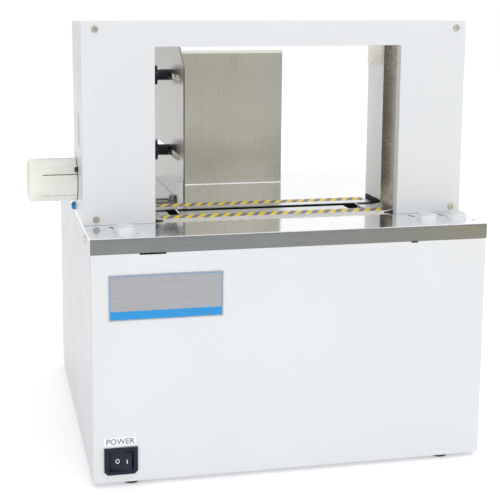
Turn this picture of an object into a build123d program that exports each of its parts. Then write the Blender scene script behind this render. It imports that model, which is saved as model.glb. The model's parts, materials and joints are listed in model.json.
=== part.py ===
"""Tabletop arch banding machine: casing, table, tape arch, product stops and sealing mechanism."""
from build123d import *
import os

# Driving dimensions, in millimetres
CASE_W = 374.0        # width of the casing, the table and the arch
CASE_D = 345.0        # depth of the casing and the table
TABLE_Z = 226.0       # table surface above the casing's bottom edge
FLANGE_H = 14.0       # height of the table's front flange
ARCH_FRONT = 60.0     # arch's front face behind the casing's front
ARCH_DEPTH = 88.0     # arch's depth
ARCH_TOP = 414.0      # arch's top above the casing's bottom edge
PASS_LEFT = 68.0      # passage's left edge
PASS_W = 240.0        # passage's clear width
PASS_H = 165.0        # passage's clear height
TAPE_W = 30.0         # width of the paper band
FOOT_H = 4.0          # rubber feet below the casing
HUB_REACH = 48.0      # reel hub's free end, left of the casing
HUB_R = 21.2          # reel hub's radius
SCREW_PROUD = 1.6     # pan heads on the casing's sides
SWITCH_PROUD = 4.4    # rocker's raised end in front of the casing
REAR_PROUD = 4.0      # sockets behind the rear panel

# Sheet thicknesses and clearances
SHEET = 1.5
STEEL = 2.0
GAP = 0.3
FIT = 0.05            # radial running clearance of a shaft in its bore

# Derived positions; every x, y and z below is counted from the casing's lower front left corner
PASS_RIGHT = PASS_LEFT + PASS_W
PASS_TOP = TABLE_Z + PASS_H
ARCH_REAR = ARCH_FRONT + ARCH_DEPTH
FLANGE_Z = TABLE_Z - FLANGE_H
MID = (PASS_LEFT + PASS_RIGHT) / 2
LEFT = HUB_REACH - (HUB_REACH + CASE_W + SCREW_PROUD) / 2
FRONT = SWITCH_PROUD - (SWITCH_PROUD + CASE_D + REAR_PROUD) / 2
BOTTOM = FOOT_H


def level(z):
    """Horizontal plane at height z, growing upwards."""
    return Plane(origin=(LEFT, FRONT, BOTTOM + z), x_dir=(1, 0, 0), z_dir=(0, 0, 1))


def frontal(y):
    """Vertical plane at depth y with local axes X and Z, growing forwards."""
    return Plane(origin=(LEFT, FRONT + y, BOTTOM), x_dir=(1, 0, 0), z_dir=(0, -1, 0))


def lateral(x):
    """Vertical plane at width x with local axes Y and Z, growing to the right."""
    return Plane(origin=(LEFT + x, FRONT, BOTTOM), x_dir=(0, 1, 0), z_dir=(1, 0, 0))


def lateral_left(x):
    """Vertical plane at width x with local axes -Y and Z, growing to the left."""
    return Plane(origin=(LEFT + x, FRONT, BOTTOM), x_dir=(0, -1, 0), z_dir=(-1, 0, 0))


def rearward(y):
    """Vertical plane at depth y with local axes -X and Z, growing backwards."""
    return Plane(origin=(LEFT, FRONT + y, BOTTOM), x_dir=(-1, 0, 0), z_dir=(0, 1, 0))


def slab(x, y, z, mode=Mode.ADD):
    """Block between two widths, two depths and two heights."""
    with BuildSketch(level(z[0])) as outline:
        with Locations(((x[0] + x[1]) / 2, (y[0] + y[1]) / 2)):
            Rectangle(x[1] - x[0], y[1] - y[0])
    extrude(outline.sketch, amount=z[1] - z[0], mode=mode)


def rod_x(x, y, z, radius, mode=Mode.ADD):
    """Round bar along X."""
    with BuildSketch(lateral(x[0])) as outline:
        with Locations((y, z)):
            Circle(radius)
    extrude(outline.sketch, amount=x[1] - x[0], mode=mode)


def rod_y(x, y, z, radius, mode=Mode.ADD):
    """Round bar along Y."""
    with BuildSketch(frontal(y[1])) as outline:
        with Locations((x, z)):
            Circle(radius)
    extrude(outline.sketch, amount=y[1] - y[0], mode=mode)


def rod_z(x, y, z, radius, mode=Mode.ADD):
    """Round bar along Z."""
    with BuildSketch(level(z[0])) as outline:
        with Locations((x, y)):
            Circle(radius)
    extrude(outline.sketch, amount=z[1] - z[0], mode=mode)


def plate_x(corners, x, mode=Mode.ADD):
    """Plate with an outline of (y, z) corners, between two widths."""
    with BuildSketch(lateral(x[0])) as outline:
        with BuildLine():
            Polyline(*corners, close=True)
        make_face()
    extrude(outline.sketch, amount=x[1] - x[0], mode=mode)


def plate_z(corners, z, mode=Mode.ADD):
    """Plate with an outline of (x, y) corners, between two heights."""
    with BuildSketch(level(z[0])) as outline:
        with BuildLine():
            Polyline(*corners, close=True)
        make_face()
    extrude(outline.sketch, amount=z[1] - z[0], mode=mode)


def portal(outer, inner, y):
    """Portal standing on the table: outer and inner are (left, right, top)."""
    with BuildSketch(frontal(y[1])) as outline:
        for edges, mode in ((outer, Mode.ADD), (inner, Mode.SUBTRACT)):
            with Locations(((edges[0] + edges[1]) / 2, (TABLE_Z + edges[2]) / 2)):
                Rectangle(edges[1] - edges[0], edges[2] - TABLE_Z, mode=mode)
    extrude(outline.sketch, amount=y[1] - y[0])


def rim(thickness, y):
    """Strip that lines the passage from outside its edges."""
    portal(
        (PASS_LEFT - thickness, PASS_RIGHT + thickness, PASS_TOP + thickness),
        (PASS_LEFT, PASS_RIGHT, PASS_TOP),
        y,
    )


def screw(plane, spot, head_r, head_h, shank_r, shank_l):
    """Cross-recessed pan-head screw seated on a plane, its shank behind the plane."""
    with BuildSketch(plane) as head:
        with Locations(spot):
            Circle(head_r)
    extrude(head.sketch, amount=head_h, taper=20)
    with BuildSketch(plane) as shank:
        with Locations(spot):
            Circle(shank_r)
    extrude(shank.sketch, amount=-shank_l)
    with BuildSketch(plane.offset(head_h / 2)) as recess:
        with Locations(spot):
            Rectangle(head_r * 1.1, head_r * 0.26)
            Rectangle(head_r * 0.26, head_r * 1.1)
    extrude(recess.sketch, amount=head_h, mode=Mode.SUBTRACT)


# Casing: front and both sides in one folded sheet
SWITCH_X = 25.5
SWITCH_Z = 20.4
CASING_TOP = FLANGE_Z - GAP
SIDE_SCREW_Z = 218.0
SIDE_SCREW_Y = (40.0, CASE_D - 30.0)
REAR_SCREWS = ((20.0, 217.0), (187.0, 217.0), (354.0, 217.0), (20.0, 9.0), (354.0, 9.0))

with BuildPart() as base_casing:
    slab((0, CASE_W), (0, CASE_D), (0, TABLE_Z - STEEL))
    fillet(base_casing.edges().filter_by(Axis.Z).group_by(Axis.Y)[0], 1.2)
    slab((SHEET, CASE_W - SHEET), (SHEET, CASE_D), (0, TABLE_Z), mode=Mode.SUBTRACT)
    slab((0, CASE_W), (0, STEEL + GAP), (CASING_TOP, TABLE_Z), mode=Mode.SUBTRACT)
    for notch in ((44.0, 68.0), (299.0, 306.0)):
        slab(notch, (0, SHEET), (CASING_TOP - 1.4, CASING_TOP), mode=Mode.SUBTRACT)
    slab((SWITCH_X - 13.6, SWITCH_X + 13.6), (0, SHEET), (SWITCH_Z - 11, SWITCH_Z + 11), mode=Mode.SUBTRACT)
    for screw_y in SIDE_SCREW_Y:
        rod_x((0, CASE_W), screw_y, SIDE_SCREW_Z, 2.1, mode=Mode.SUBTRACT)

# Base plate with its folded edges
INSIDE = (SHEET + GAP, CASE_W - SHEET - GAP)
PANEL_Y = CASE_D - SHEET

with BuildPart() as base_plate:
    slab(INSIDE, (SHEET + GAP, PANEL_Y - GAP), (0, STEEL))
    for edge in ((INSIDE[0], INSIDE[0] + SHEET), (INSIDE[1] - SHEET, INSIDE[1])):
        slab(edge, (SHEET + GAP, PANEL_Y - GAP), (STEEL, 15))
    slab(INSIDE, (PANEL_Y - GAP - SHEET, PANEL_Y - GAP), (STEEL, 15))
    for screw_x, screw_z in REAR_SCREWS[3:]:
        rod_y(screw_x, (PANEL_Y - 3, CASE_D), screw_z, 2.1, mode=Mode.SUBTRACT)

# Round rubber feet under the base plate
FOOT_R = 8.0
FOOT_INSET = 11.5

with BuildPart() as rubber_feet:
    with BuildSketch(level(0)) as pads:
        for foot_x in (36.0, CASE_W - 36.0):
            for foot_y in (FOOT_INSET, CASE_D - FOOT_INSET):
                with Locations((foot_x, foot_y)):
                    Circle(FOOT_R)
    extrude(pads.sketch, amount=-FOOT_H, taper=8)

# Rear panel with cooling slots, fan grille and socket cut-outs
INLET_X = 320.0
JACK_X = 268.0
SOCKET_Z = 38.0
FAN_X = 190.0
FAN_Z = 62.0

with BuildPart() as rear_panel:
    slab(INSIDE, (PANEL_Y, CASE_D), (0, TABLE_Z - STEEL - GAP))
    with BuildSketch(frontal(CASE_D)) as cuts:
        for vent_x in (80, 294):
            with Locations((vent_x, 150)):
                with GridLocations(0, 9, 1, 7):
                    SlotOverall(70, 3.6)
        for ring_r, count in ((8.0, 6), (15.0, 12), (22.0, 18)):
            with Locations((FAN_X, FAN_Z)):
                with PolarLocations(ring_r, count):
                    Circle(2.2)
        with Locations((INLET_X, SOCKET_Z)):
            Rectangle(27.4, 19.8)
        with Locations((JACK_X, SOCKET_Z)):
            Circle(6.1)
        with Locations(*REAR_SCREWS):
            Circle(2.1)
    extrude(cuts.sketch, amount=SHEET, mode=Mode.SUBTRACT)

# Work table: steel sheet with a front flange and folded edges inside the casing
BUTTON_R = 8.0
BUTTON_Y = 33.0
RING_H = 3.8                  # ring round each button
RING_R = 9.3
BUTTON_X = (34.6, 327.8, 358.5)
WELL_X = (86.5, 285.0)        # well that the sealing head works in
WELL_Y = (87.0, 116.2)
CLAMP_X = 104.5               # screw that clamps the side fence
CLAMP_Y = 172.0
UNDER = TABLE_Z - STEEL
HEATER_X = 250.0              # stud that the heater arm swings on
HEATER_Y = 62.0
HEATER_Z = (217.2, 218.8)

with BuildPart() as table_top:
    slab((0, CASE_W), (0, CASE_D), (UNDER, TABLE_Z))
    slab((0, CASE_W), (0, STEEL), (FLANGE_Z, UNDER))
    fillet(table_top.faces().sort_by(Axis.Z)[-1].edges().sort_by(Axis.Y)[0], 1.6)
    slab(INSIDE, (PANEL_Y - GAP - SHEET, PANEL_Y - GAP), (FLANGE_Z, UNDER))
    for edge in ((INSIDE[0], INSIDE[0] + STEEL), (INSIDE[1] - STEEL, INSIDE[1])):
        slab(edge, (STEEL + GAP, PANEL_Y - GAP - SHEET), (FLANGE_Z, UNDER))
    slab(WELL_X, WELL_Y, (UNDER, TABLE_Z), mode=Mode.SUBTRACT)
    for button_x in BUTTON_X:
        rod_z(button_x, BUTTON_Y, (UNDER, TABLE_Z), BUTTON_R + 0.2, mode=Mode.SUBTRACT)
    rod_z(CLAMP_X, CLAMP_Y, (UNDER, TABLE_Z), 2.6, mode=Mode.SUBTRACT)
    for screw_y in SIDE_SCREW_Y:
        rod_x((0, CASE_W), screw_y, SIDE_SCREW_Z, 2.1, mode=Mode.SUBTRACT)
    for screw_x, screw_z in REAR_SCREWS[:3]:
        rod_y(screw_x, (PANEL_Y - 3, CASE_D), screw_z, 2.1, mode=Mode.SUBTRACT)
    rod_z(HEATER_X, HEATER_Y, (HEATER_Z[1] + GAP, UNDER), 6)
    rod_z(HEATER_X, HEATER_Y, (HEATER_Z[0] - 4, HEATER_Z[1] + GAP), 3)
    rod_z(HEATER_X, HEATER_Y, (HEATER_Z[0] - 4, HEATER_Z[0] - GAP), 5)

with BuildPart() as casing_screws:
    for screw_y in SIDE_SCREW_Y:
        screw(lateral(CASE_W), (screw_y, SIDE_SCREW_Z), 3.9, SCREW_PROUD, 2.0, 6)
        screw(lateral_left(0), (-screw_y, SIDE_SCREW_Z), 3.9, SCREW_PROUD, 2.0, 6)
    for screw_x, screw_z in REAR_SCREWS:
        screw(rearward(CASE_D), (-screw_x, screw_z), 3.2, SCREW_PROUD, 2.0, 6)

# Arch: front cover, rear shell and the frame that carries both
SCREW_SPOTS = ((13.0, 407.0), (364.0, 407.0), (12.3, 231.3), (364.5, 231.4))
SPINDLE_Y = 126.0
SPINDLE_Z = 260.0
SPINDLE_R = 5.0
TAPE_SLOT_Y = 90.5
TAPE_SLOT_Z = 312.5
OUTER = (0, CASE_W, ARCH_TOP)
PASSAGE = (PASS_LEFT, PASS_RIGHT, PASS_TOP)
TRACK_Y = (69.8, 104.6)
EXIT_Z = TABLE_Z + 6.2        # tape exit cut in the legs' inner walls

with BuildPart() as arch_front_cover:
    portal(OUTER, PASSAGE, (ARCH_FRONT, ARCH_FRONT + SHEET))
    fillet(arch_front_cover.faces().sort_by(Axis.Y)[0].edges(), 0.7)
    rim(SHEET, (ARCH_FRONT + SHEET, TRACK_Y[0] - GAP))
    for spot_x, spot_z in SCREW_SPOTS:
        rod_y(spot_x, (ARCH_FRONT, ARCH_FRONT + SHEET), spot_z, 2.2, mode=Mode.SUBTRACT)

with BuildPart() as arch_shell:
    portal(OUTER, PASSAGE, (ARCH_REAR - SHEET, ARCH_REAR))
    fillet(arch_shell.faces().sort_by(Axis.Y)[-1].edges(), 0.7)
    portal(OUTER, (SHEET, CASE_W - SHEET, ARCH_TOP - SHEET), (ARCH_FRONT + SHEET + GAP, ARCH_REAR - SHEET))
    rim(SHEET, (TRACK_Y[1] + GAP, ARCH_REAR - SHEET))
    for wall in ((PASS_LEFT - SHEET, PASS_LEFT), (PASS_RIGHT, PASS_RIGHT + SHEET)):
        slab(wall, (TRACK_Y[1], ARCH_REAR - 2 * SHEET), (TABLE_Z, EXIT_Z), mode=Mode.SUBTRACT)
    with BuildSketch(lateral(0)) as side_cuts:
        with Locations((TAPE_SLOT_Y, TAPE_SLOT_Z)):
            SlotOverall(TAPE_W + 2, 8, rotation=90)
        with Locations((SPINDLE_Y, SPINDLE_Z)):
            Circle(SPINDLE_R + 0.1)
    extrude(side_cuts.sketch, amount=SHEET, mode=Mode.SUBTRACT)

with BuildPart() as arch_frame:
    portal(
        (8, CASE_W - 8, ARCH_TOP - 2 * STEEL),
        (PASS_LEFT - STEEL, PASS_RIGHT + STEEL, PASS_TOP + STEEL),
        (TRACK_Y[1] + GAP, TRACK_Y[1] + GAP + STEEL),
    )
    for spot_x, spot_z in SCREW_SPOTS:
        rod_y(spot_x, (ARCH_FRONT + SHEET, TRACK_Y[1] + GAP), spot_z, 4.2)
        rod_y(spot_x, (ARCH_FRONT, ARCH_FRONT + 14), spot_z, 2.05, mode=Mode.SUBTRACT)

with BuildPart() as arch_cover_screws:
    for spot in SCREW_SPOTS:
        screw(frontal(ARCH_FRONT), spot, 3.2, 1.8, 2.0, 10)

# Tape track: steel channel round the passage, its floor curving into the table at the foot
TRACK_DROP = 13.0             # track's floor behind the passage's edge
TRACK_R = 22.0                # corner radius of the track's floor
TRACK_T = 1.0
GROOVE_Y = (92.6, 94.2)       # groove along the track's floor
GROOVE_DEPTH = 0.6
FLOOR_LEFT = PASS_LEFT - TRACK_DROP
FLOOR_RIGHT = PASS_RIGHT + TRACK_DROP
FLOOR_TOP = PASS_TOP + TRACK_DROP
GUIDE_Z = TABLE_Z + STEEL     # top of the guide plates on the table
BEND_LEFT = FLOOR_LEFT + TRACK_R
BEND_RIGHT = FLOOR_RIGHT - TRACK_R


def track_outline(grow):
    """Rounded rectangle of the track's floor, grown outwards."""
    with Locations((MID, (GUIDE_Z + FLOOR_TOP) / 2)):
        RectangleRounded(
            FLOOR_RIGHT - FLOOR_LEFT + 2 * grow,
            FLOOR_TOP - GUIDE_Z + 2 * grow,
            TRACK_R + grow,
        )


with BuildPart() as tape_track:
    with BuildSketch(frontal(TRACK_Y[1])) as channel:
        track_outline(TRACK_T)
    extrude(channel.sketch, amount=TRACK_Y[1] - TRACK_Y[0])
    with BuildSketch(frontal(TRACK_Y[1] - TRACK_T)) as floor_hollow:
        track_outline(0)
    extrude(floor_hollow.sketch, amount=TRACK_Y[1] - TRACK_Y[0] - 2 * TRACK_T, mode=Mode.SUBTRACT)
    with BuildSketch(frontal(TRACK_Y[1])) as mouth:
        track_outline(0)
        with Locations((MID, (GUIDE_Z + PASS_TOP) / 2)):
            Rectangle(PASS_W, PASS_TOP - GUIDE_Z, mode=Mode.INTERSECT)
    extrude(mouth.sketch, amount=TRACK_Y[1] - TRACK_Y[0], mode=Mode.SUBTRACT)
    slab((BEND_LEFT, BEND_RIGHT), TRACK_Y, (TABLE_Z, GUIDE_Z), mode=Mode.SUBTRACT)
    with BuildSketch(frontal(GROOVE_Y[1])) as groove:
        track_outline(GROOVE_DEPTH)
    extrude(groove.sketch, amount=GROOVE_Y[1] - GROOVE_Y[0], mode=Mode.SUBTRACT)

# Blocks that carry the track's curved foot on each side
with BuildPart() as corner_guides:
    slab((FLOOR_LEFT - 1, BEND_LEFT), TRACK_Y, (TABLE_Z, TABLE_Z + TRACK_R))
    slab((BEND_RIGHT, FLOOR_RIGHT + 1), TRACK_Y, (TABLE_Z, TABLE_Z + TRACK_R))
    with BuildSketch(frontal(TRACK_Y[1])) as bend:
        track_outline(TRACK_T)
    extrude(bend.sketch, amount=TRACK_Y[1] - TRACK_Y[0], mode=Mode.SUBTRACT)

# Guide plates on the table, either side of the black tape gap
GAP_Y = (103.9, 116.0)
HEAD_X = (99.6, 267.8)        # sliding anvil's width

with BuildPart() as front_guide_plate:
    slab((BEND_LEFT, BEND_RIGHT), (TRACK_Y[0], WELL_Y[0] - 0.2), (TABLE_Z, GUIDE_Z))
    slab((BEND_LEFT, WELL_X[0] - 0.2), (WELL_Y[0] - 0.2, GAP_Y[0]), (TABLE_Z, GUIDE_Z))
    slab((WELL_X[1] + 0.2, BEND_RIGHT), (WELL_Y[0] - 0.2, GAP_Y[0]), (TABLE_Z, GUIDE_Z))

with BuildPart() as rear_guide_plate:
    slab((71.5, 304.5), (GAP_Y[1] + 0.3, 147.0), (TABLE_Z, GUIDE_Z))
    chamfer(rear_guide_plate.edges().filter_by(Axis.Z).group_by(Axis.Y)[0], 4)

STRIP_T = 0.25
with BuildPart() as hazard_strips:
    slab((BEND_LEFT + 0.2, BEND_RIGHT - 0.2), (TRACK_Y[0] + 0.3, 84.4), (GUIDE_Z, GUIDE_Z + STRIP_T))
    slab((75.5, 300.5), (131.5, 144.5), (GUIDE_Z, GUIDE_Z + STRIP_T))

# Black tray under the tape gap, and black end blocks that close the gap at the legs
TRAY_TOP = 220.0
with BuildPart() as tape_gap_tray:
    tray_y = (GAP_Y[0] + 0.3, WELL_Y[1] - 0.2)
    slab(WELL_X, tray_y, (TRAY_TOP - 12, TRAY_TOP))
    tray_hollow_y = (tray_y[0] + 1, tray_y[1] - 1)
    slab((WELL_X[0] + 1, WELL_X[1] - 1), tray_hollow_y, (TRAY_TOP - 11, TRAY_TOP), mode=Mode.SUBTRACT)
    slab(WELL_X, (tray_y[1] - 1, tray_y[1]), (TRAY_TOP, GUIDE_Z - 0.4))
    for post in ((WELL_X[0] - 5, WELL_X[0]), (WELL_X[1], WELL_X[1] + 5)):
        slab(post, tray_y, (TRAY_TOP - 2, UNDER))

with BuildPart() as leg_end_blocks:
    for block_x in ((PASS_LEFT - 10, PASS_LEFT + 1), (PASS_RIGHT - 1, PASS_RIGHT + 10)):
        slab(block_x, (108.2, 144.8), (TABLE_Z, EXIT_Z - 0.4))
    chamfer(leg_end_blocks.edges().filter_by(Axis.Y).group_by(Axis.Z)[-1], 0.6)
    for filler_x in ((PASS_LEFT - 1, WELL_X[0] - 0.3), (WELL_X[1] + 0.3, PASS_RIGHT + 1)):
        slab(filler_x, (TRACK_Y[1] + GAP, GAP_Y[1]), (TABLE_Z, TABLE_Z + 1))

# Curled tape fingers at the right-hand edge of each notch in the guide plates
with BuildPart() as tape_fingers:
    for finger_x in (HEAD_X[0] - 3.4, WELL_X[1] - 3.2):
        with BuildSketch(frontal(tray_y[0])) as curl:
            with BuildLine():
                root = Line((finger_x + 2.0, 215), (finger_x + 2.0, 226))
                TangentArc(root @ 1, (finger_x - 1.0, 229.6), tangent=root % 1)
                offset(amount=0.5, side=Side.BOTH)
            make_face()
        extrude(curl.sketch, amount=14)

# Small steel plate over the track's upper right corner
with BuildPart() as track_corner_plate:
    slab((PASS_RIGHT - 0.8, PASS_RIGHT), (107.0, ARCH_REAR - 0.5), (370.0, PASS_TOP - 0.2))

# Blue cap over the arch's side bolt
CAP_Y = 142.5
CAP_Z = 230.5
with BuildPart() as side_cap:
    with BuildSketch(lateral_left(0)) as cap_disc:
        with Locations((-CAP_Y, CAP_Z)):
            Circle(4.2)
    extrude(cap_disc.sketch, amount=4)
    fillet(side_cap.faces().sort_by(Axis.X)[0].edges(), 3.0)

# Name plate, rocker switch and button rings
with BuildPart() as name_plate:
    slab((15.9, 119.6), (-0.8, 0), (151.2, 192.7))

PIVOT_Y = 1.0
with BuildPart() as switch_bezel:
    with BuildSketch(frontal(0)) as bezel_outline:
        with Locations((SWITCH_X, SWITCH_Z)):
            Rectangle(30.6, 25.4)
        chamfer(bezel_outline.vertices().group_by(Axis.Y)[0], 3)
    extrude(bezel_outline.sketch, amount=2.2)
    fillet(switch_bezel.faces().sort_by(Axis.Y)[0].edges(), 0.8)
    slab((SWITCH_X - 13.4, SWITCH_X + 13.4), (0, 24), (SWITCH_Z - 10.8, SWITCH_Z + 10.8))
    slab((SWITCH_X - 11, SWITCH_X + 11), (-3, 17), (SWITCH_Z - 9, SWITCH_Z + 9), mode=Mode.SUBTRACT)
    for blade_x in (-7, 7):
        slab((SWITCH_X + blade_x - 3, SWITCH_X + blade_x + 3), (24, 32), (SWITCH_Z - 0.4, SWITCH_Z + 0.4))
    rod_z(SWITCH_X, PIVOT_Y, (SWITCH_Z - 9, SWITCH_Z - 7.4), 1.4)
    rod_z(SWITCH_X, PIVOT_Y, (SWITCH_Z + 7.4, SWITCH_Z + 9), 1.4)

with BuildPart() as switch_rocker:
    rocker_corners = (
        (SWITCH_X - 10.5, 0.4),
        (SWITCH_X, -1.2),
        (SWITCH_X + 9.1, -SWITCH_PROUD),
        (SWITCH_X + 9.6, -3.2),
        (SWITCH_X + 10.3, 1.5),
        (SWITCH_X + 6.5, 8.0),
        (SWITCH_X - 6.5, 8.0),
        (SWITCH_X - 10.2, 2.5),
    )
    plate_z(rocker_corners, (SWITCH_Z - 8.6, SWITCH_Z + 8.6))
    for bore_z in ((SWITCH_Z - 8.6, SWITCH_Z - 7.3), (SWITCH_Z + 7.3, SWITCH_Z + 8.6)):
        rod_z(SWITCH_X, PIVOT_Y, bore_z, 1.4 + FIT, mode=Mode.SUBTRACT)

with BuildPart() as button_rings:
    for button_x in BUTTON_X:
        rod_z(button_x, BUTTON_Y, (TABLE_Z, TABLE_Z + RING_H), RING_R)
    chamfer(button_rings.faces().group_by(Axis.Z)[-1].edges(), 0.5)
    for button_x in BUTTON_X:
        rod_z(button_x, BUTTON_Y, (TABLE_Z, TABLE_Z + RING_H), BUTTON_R + 0.2, mode=Mode.SUBTRACT)


def push_button(button_x):
    """Low domed cap on a guide stem that passes through the table."""
    rod_z(button_x, BUTTON_Y, (TABLE_Z - 7, TABLE_Z + RING_H + 1.6), BUTTON_R)
    fillet(faces().sort_by(Axis.Z)[-1].edges(), 1.5)
    rod_z(button_x, BUTTON_Y, (TABLE_Z - 12, TABLE_Z - 7), 3)


with BuildPart() as start_button:
    push_button(BUTTON_X[1])
with BuildPart() as feed_button:
    push_button(BUTTON_X[2])
with BuildPart() as reset_button:
    push_button(BUTTON_X[0])

# Reel hub on its spindle, left of the arch
with BuildPart() as reel_spindle:
    rod_x((-HUB_REACH + 3, 9), SPINDLE_Y, SPINDLE_Z, SPINDLE_R)
    rod_x((SHEET, SHEET + 3), SPINDLE_Y, SPINDLE_Z, 16)
    rod_x((-3.6, 0), SPINDLE_Y, SPINDLE_Z, 16)

with BuildPart() as reel_hub:
    hub_x = (-HUB_REACH, -0.8)
    boss_end = -4.2
    rod_x(hub_x, SPINDLE_Y, SPINDLE_Z, HUB_R)
    fillet(reel_hub.faces().sort_by(Axis.X)[0].edges(), 5)
    rod_x((-HUB_REACH + 10, hub_x[1]), SPINDLE_Y, SPINDLE_Z, HUB_R - 2.4, mode=Mode.SUBTRACT)
    rod_x((-HUB_REACH + 9, boss_end), SPINDLE_Y, SPINDLE_Z, 9)
    rod_x((-HUB_REACH + 2.6, boss_end), SPINDLE_Y, SPINDLE_Z, SPINDLE_R + FIT, mode=Mode.SUBTRACT)
    with BuildSketch(lateral(-HUB_REACH + 14)) as hub_slits:
        with Locations((SPINDLE_Y, SPINDLE_Z)):
            with PolarLocations(HUB_R, 6, start_angle=39):
                Rectangle(8, 1.0)
    extrude(hub_slits.sketch, amount=40, mode=Mode.SUBTRACT)

# Side fence, clamped through its foot, and the back stop that slides along it
FENCE_X = 112.0
FENCE_Y = (151.0, 342.0)
FENCE_Z = (TABLE_Z + GAP, 392.0)
SLOT_Z = (271.0, 354.0)
SLOT_Y = (172.0, 322.0)
KNOB_Y = 244.0
STUD_R = 2.95
STOP_Y = 270.0
STOP_X = 250.0
STOP_Z = (TABLE_Z + 0.6, 378.5)
PLATE = 1.5
HEM_R = 3.4                   # bend at the back stop's top edge

with BuildPart() as side_fence:
    fence_outline = (
        (FENCE_Y[0], FENCE_Z[0]),
        (FENCE_Y[1], FENCE_Z[0]),
        (FENCE_Y[1], FENCE_Z[1]),
        (182.5, FENCE_Z[1]),
        (FENCE_Y[0], 366.5),
    )
    plate_x(fence_outline, (FENCE_X, FENCE_X + PLATE))
    with BuildSketch(lateral(FENCE_X)) as fence_slots:
        for slot_z in SLOT_Z:
            with Locations(((SLOT_Y[0] + SLOT_Y[1]) / 2, slot_z)):
                SlotOverall(SLOT_Y[1] - SLOT_Y[0], 6.6)
    extrude(fence_slots.sketch, amount=PLATE, mode=Mode.SUBTRACT)
    slab((74, FENCE_X), (161, 184), (FENCE_Z[0], FENCE_Z[0] + PLATE))
    with BuildSketch(level(FENCE_Z[0])) as foot_slot:
        with Locations((93, CLAMP_Y)):
            SlotOverall(32, 6.6)
    extrude(foot_slot.sketch, amount=PLATE, mode=Mode.SUBTRACT)
    slab((FENCE_X - 5.5, FENCE_X), (151.5, 158.5), (FENCE_Z[0], 249))
    rod_x((FENCE_X - 5.5, FENCE_X - 4.0), 155, 243.5, 1.6, mode=Mode.SUBTRACT)

with BuildPart() as fence_clamp_screw:
    foot_top = FENCE_Z[0] + PLATE + 0.15
    rod_z(CLAMP_X, CLAMP_Y, (foot_top, foot_top + 1.0), 6)
    rod_z(CLAMP_X, CLAMP_Y, (foot_top + 1.0, foot_top + 4.5), 4.2)
    rod_z(CLAMP_X, CLAMP_Y, (215, foot_top), 2.5)
    rod_z(CLAMP_X, CLAMP_Y, (UNDER - 4, UNDER), 4.5)
    with BuildSketch(level(foot_top + 2.2)) as socket:
        with Locations((CLAMP_X, CLAMP_Y)):
            RegularPolygon(2.2, 6)
    extrude(socket.sketch, amount=3, mode=Mode.SUBTRACT)

FLAP_X = (FENCE_X + PLATE + GAP, FENCE_X + 2 * PLATE + GAP)
with BuildPart() as back_stop:
    slab((FLAP_X[0], STOP_X), (STOP_Y, STOP_Y + PLATE), STOP_Z)
    slab((FLAP_X[0], STOP_X), (STOP_Y, STOP_Y + 14), (STOP_Z[1] - PLATE, STOP_Z[1]))
    fillet(back_stop.edges().filter_by(Axis.X).group_by(Axis.Z)[-1].sort_by(Axis.Y)[0], HEM_R)
    slab(FLAP_X, (226, STOP_Y + PLATE / 2), (STOP_Z[0], STOP_Z[1] - HEM_R))
    for slot_z in SLOT_Z:
        rod_x((FLAP_X[1], FLAP_X[1] + 4), KNOB_Y, slot_z, 5.2)
        rod_x((FLAP_X[0], FLAP_X[1] + 4), KNOB_Y, slot_z, STUD_R + FIT, mode=Mode.SUBTRACT)


def clamp_knob(knob_z):
    """Six-lobed knob with a collar and a moulded-in stud."""
    with BuildSketch(lateral(FENCE_X - 20.5)) as lobes:
        with Locations((KNOB_Y, knob_z)):
            Circle(9.4)
            with PolarLocations(8.2, 6):
                Circle(3.3)
    extrude(lobes.sketch, amount=8.2)
    chamfer(faces().sort_by(Axis.X)[0].edges(), 0.7)
    rod_x((FENCE_X - 12.3, FENCE_X - 0.3), KNOB_Y, knob_z, 6)
    rod_x((FENCE_X - 0.3, FLAP_X[1] + 5.5), KNOB_Y, knob_z, STUD_R)


with BuildPart() as upper_clamp_knob:
    clamp_knob(SLOT_Z[1])
with BuildPart() as lower_clamp_knob:
    clamp_knob(SLOT_Z[0])

# Sealing mechanism under the table: two plates, a guide, three sliders over a cam shaft
PLATE_X = ((150.0, 153.0), (223.0, 226.0))
MECH_Y = (64.0, 128.0)
SHAFT_Y = 94.0
SHAFT_Z = 130.0
SHAFT_R = 6.0
BUSH_R = 9.0
MOTOR_Z = 90.0
MOTOR_SHAFT_R = 3.0

with BuildPart() as mechanism_plates:
    for plate in PLATE_X:
        slab(plate, MECH_Y, (STEEL, 206))
        rod_x(plate, SHAFT_Y, SHAFT_Z, BUSH_R, mode=Mode.SUBTRACT)
        slab(plate, (84, 108), (20, 52), mode=Mode.SUBTRACT)
    rod_x(PLATE_X[0], SHAFT_Y, MOTOR_Z, MOTOR_SHAFT_R + 2, mode=Mode.SUBTRACT)
    slab((130, 150), MECH_Y, (STEEL, 2 * STEEL))
    slab((226, 246), MECH_Y, (STEEL, 2 * STEEL))

with BuildPart() as frame_spacers:
    for spacer_y in (MECH_Y[0] + 7, MECH_Y[1] - 7):
        for spacer_z in (14, 176):
            rod_x((PLATE_X[0][1], PLATE_X[1][0]), spacer_y, spacer_z, 5)

with BuildPart() as shaft_bushes:
    for plate in PLATE_X:
        rod_x((plate[0] - 0.5, plate[1] + 0.5), SHAFT_Y, SHAFT_Z, BUSH_R)
        rod_x((plate[0] - 0.5, plate[1] + 0.5), SHAFT_Y, SHAFT_Z, SHAFT_R + FIT, mode=Mode.SUBTRACT)

SLIDER_X = (166.0, 188.0, 210.0)
SLIDER_W = 14.0
SLIDER_Y = (83.5, 103.5)
with BuildPart() as slider_guide:
    slab((PLATE_X[0][1], PLATE_X[1][0]), (78, 110), (190, 204))
    for slider_x in SLIDER_X:
        slab(
            (slider_x - SLIDER_W / 2 - 0.2, slider_x + SLIDER_W / 2 + 0.2),
            (SLIDER_Y[0] - 0.2, SLIDER_Y[1] + 0.2),
            (190, 204),
            mode=Mode.SUBTRACT,
        )


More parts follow.
